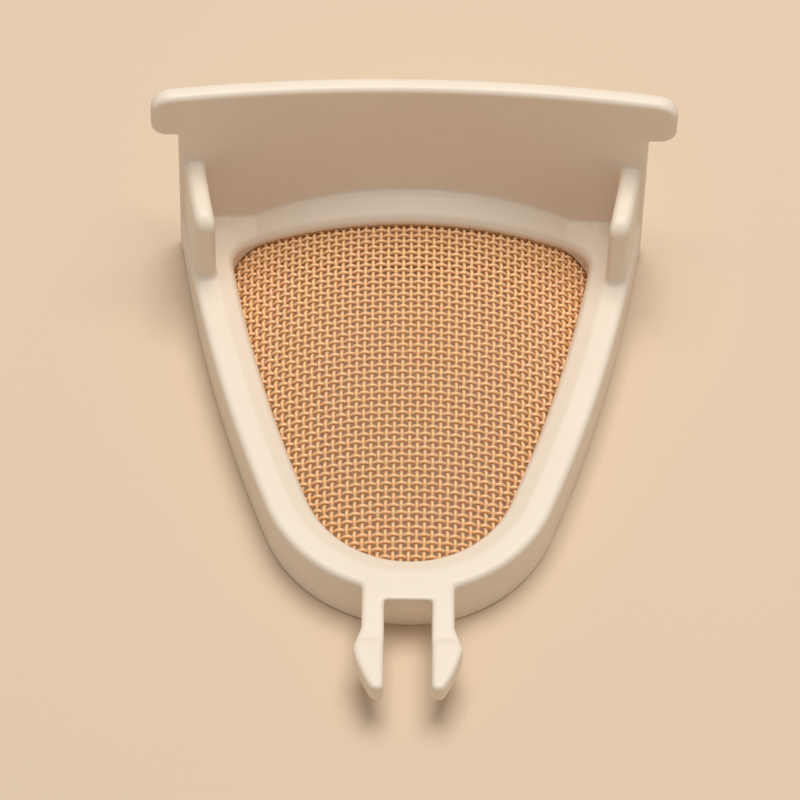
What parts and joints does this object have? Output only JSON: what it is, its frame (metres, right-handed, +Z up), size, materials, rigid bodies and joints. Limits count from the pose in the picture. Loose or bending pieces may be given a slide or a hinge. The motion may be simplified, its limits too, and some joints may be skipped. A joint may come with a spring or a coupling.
{
  "type": "kettle limescale filter",
  "caption": "Rounded-V kettle spout filter: moulded plastic frame round a domed woven mesh, with an upright winged rear wall, side cheeks and a barbed snap clip.",
  "frame": {"origin": "middle of the bounding box, on the flat underside of the rim", "axes": "+Y from the snap clip to the rear wall, +Z up from the rim's underside, X across between the wings"},
  "size_m": [0.0582, 0.065, 0.0295],
  "materials": {
    "frame_plastic": "satin moulded white plastic",
    "screen_wire": "fine woven wire"
  },
  "bodies": {
    "root": {"filter_frame": "frame_plastic", "mesh_screen": "screen_wire"}
  },
  "joints": []
}
